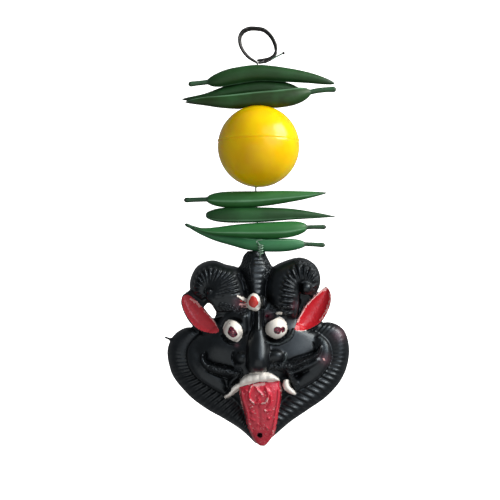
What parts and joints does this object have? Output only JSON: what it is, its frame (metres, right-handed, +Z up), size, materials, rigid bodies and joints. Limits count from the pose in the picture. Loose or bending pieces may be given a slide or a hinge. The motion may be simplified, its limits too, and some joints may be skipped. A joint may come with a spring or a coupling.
{
  "type": "evil eye demon mask charm",
  "caption": "Hanging charm against the evil eye: a horned demon mask with its tongue out, under plastic chillies and a lemon threaded on a wire.",
  "frame": {"origin": "inner top side of the wire ring, where it hangs on a nail", "axes": "+Z up along the wire, +X to the right as seen from the front, the mask's face looks along -Y and its flat open back faces +Y"},
  "size_m": [0.0925, 0.0424, 0.2107],
  "materials": {
    "black_wire": "dull black steel wire",
    "green_plastic": "satin moulded plastic",
    "yellow_plastic": "glossy moulded plastic",
    "black_plastic": "satin moulded plastic with hand-painted red and white enamel"
  },
  "bodies": {
    "root": {"wire": "black_wire", "chilli_1": "green_plastic", "chilli_2": "green_plastic", "chilli_3": "green_plastic", "chilli_4": "green_plastic", "chilli_5": "green_plastic", "chilli_6": "green_plastic", "chilli_7": "green_plastic", "lemon": "yellow_plastic", "mask": "black_plastic"}
  },
  "joints": []
}
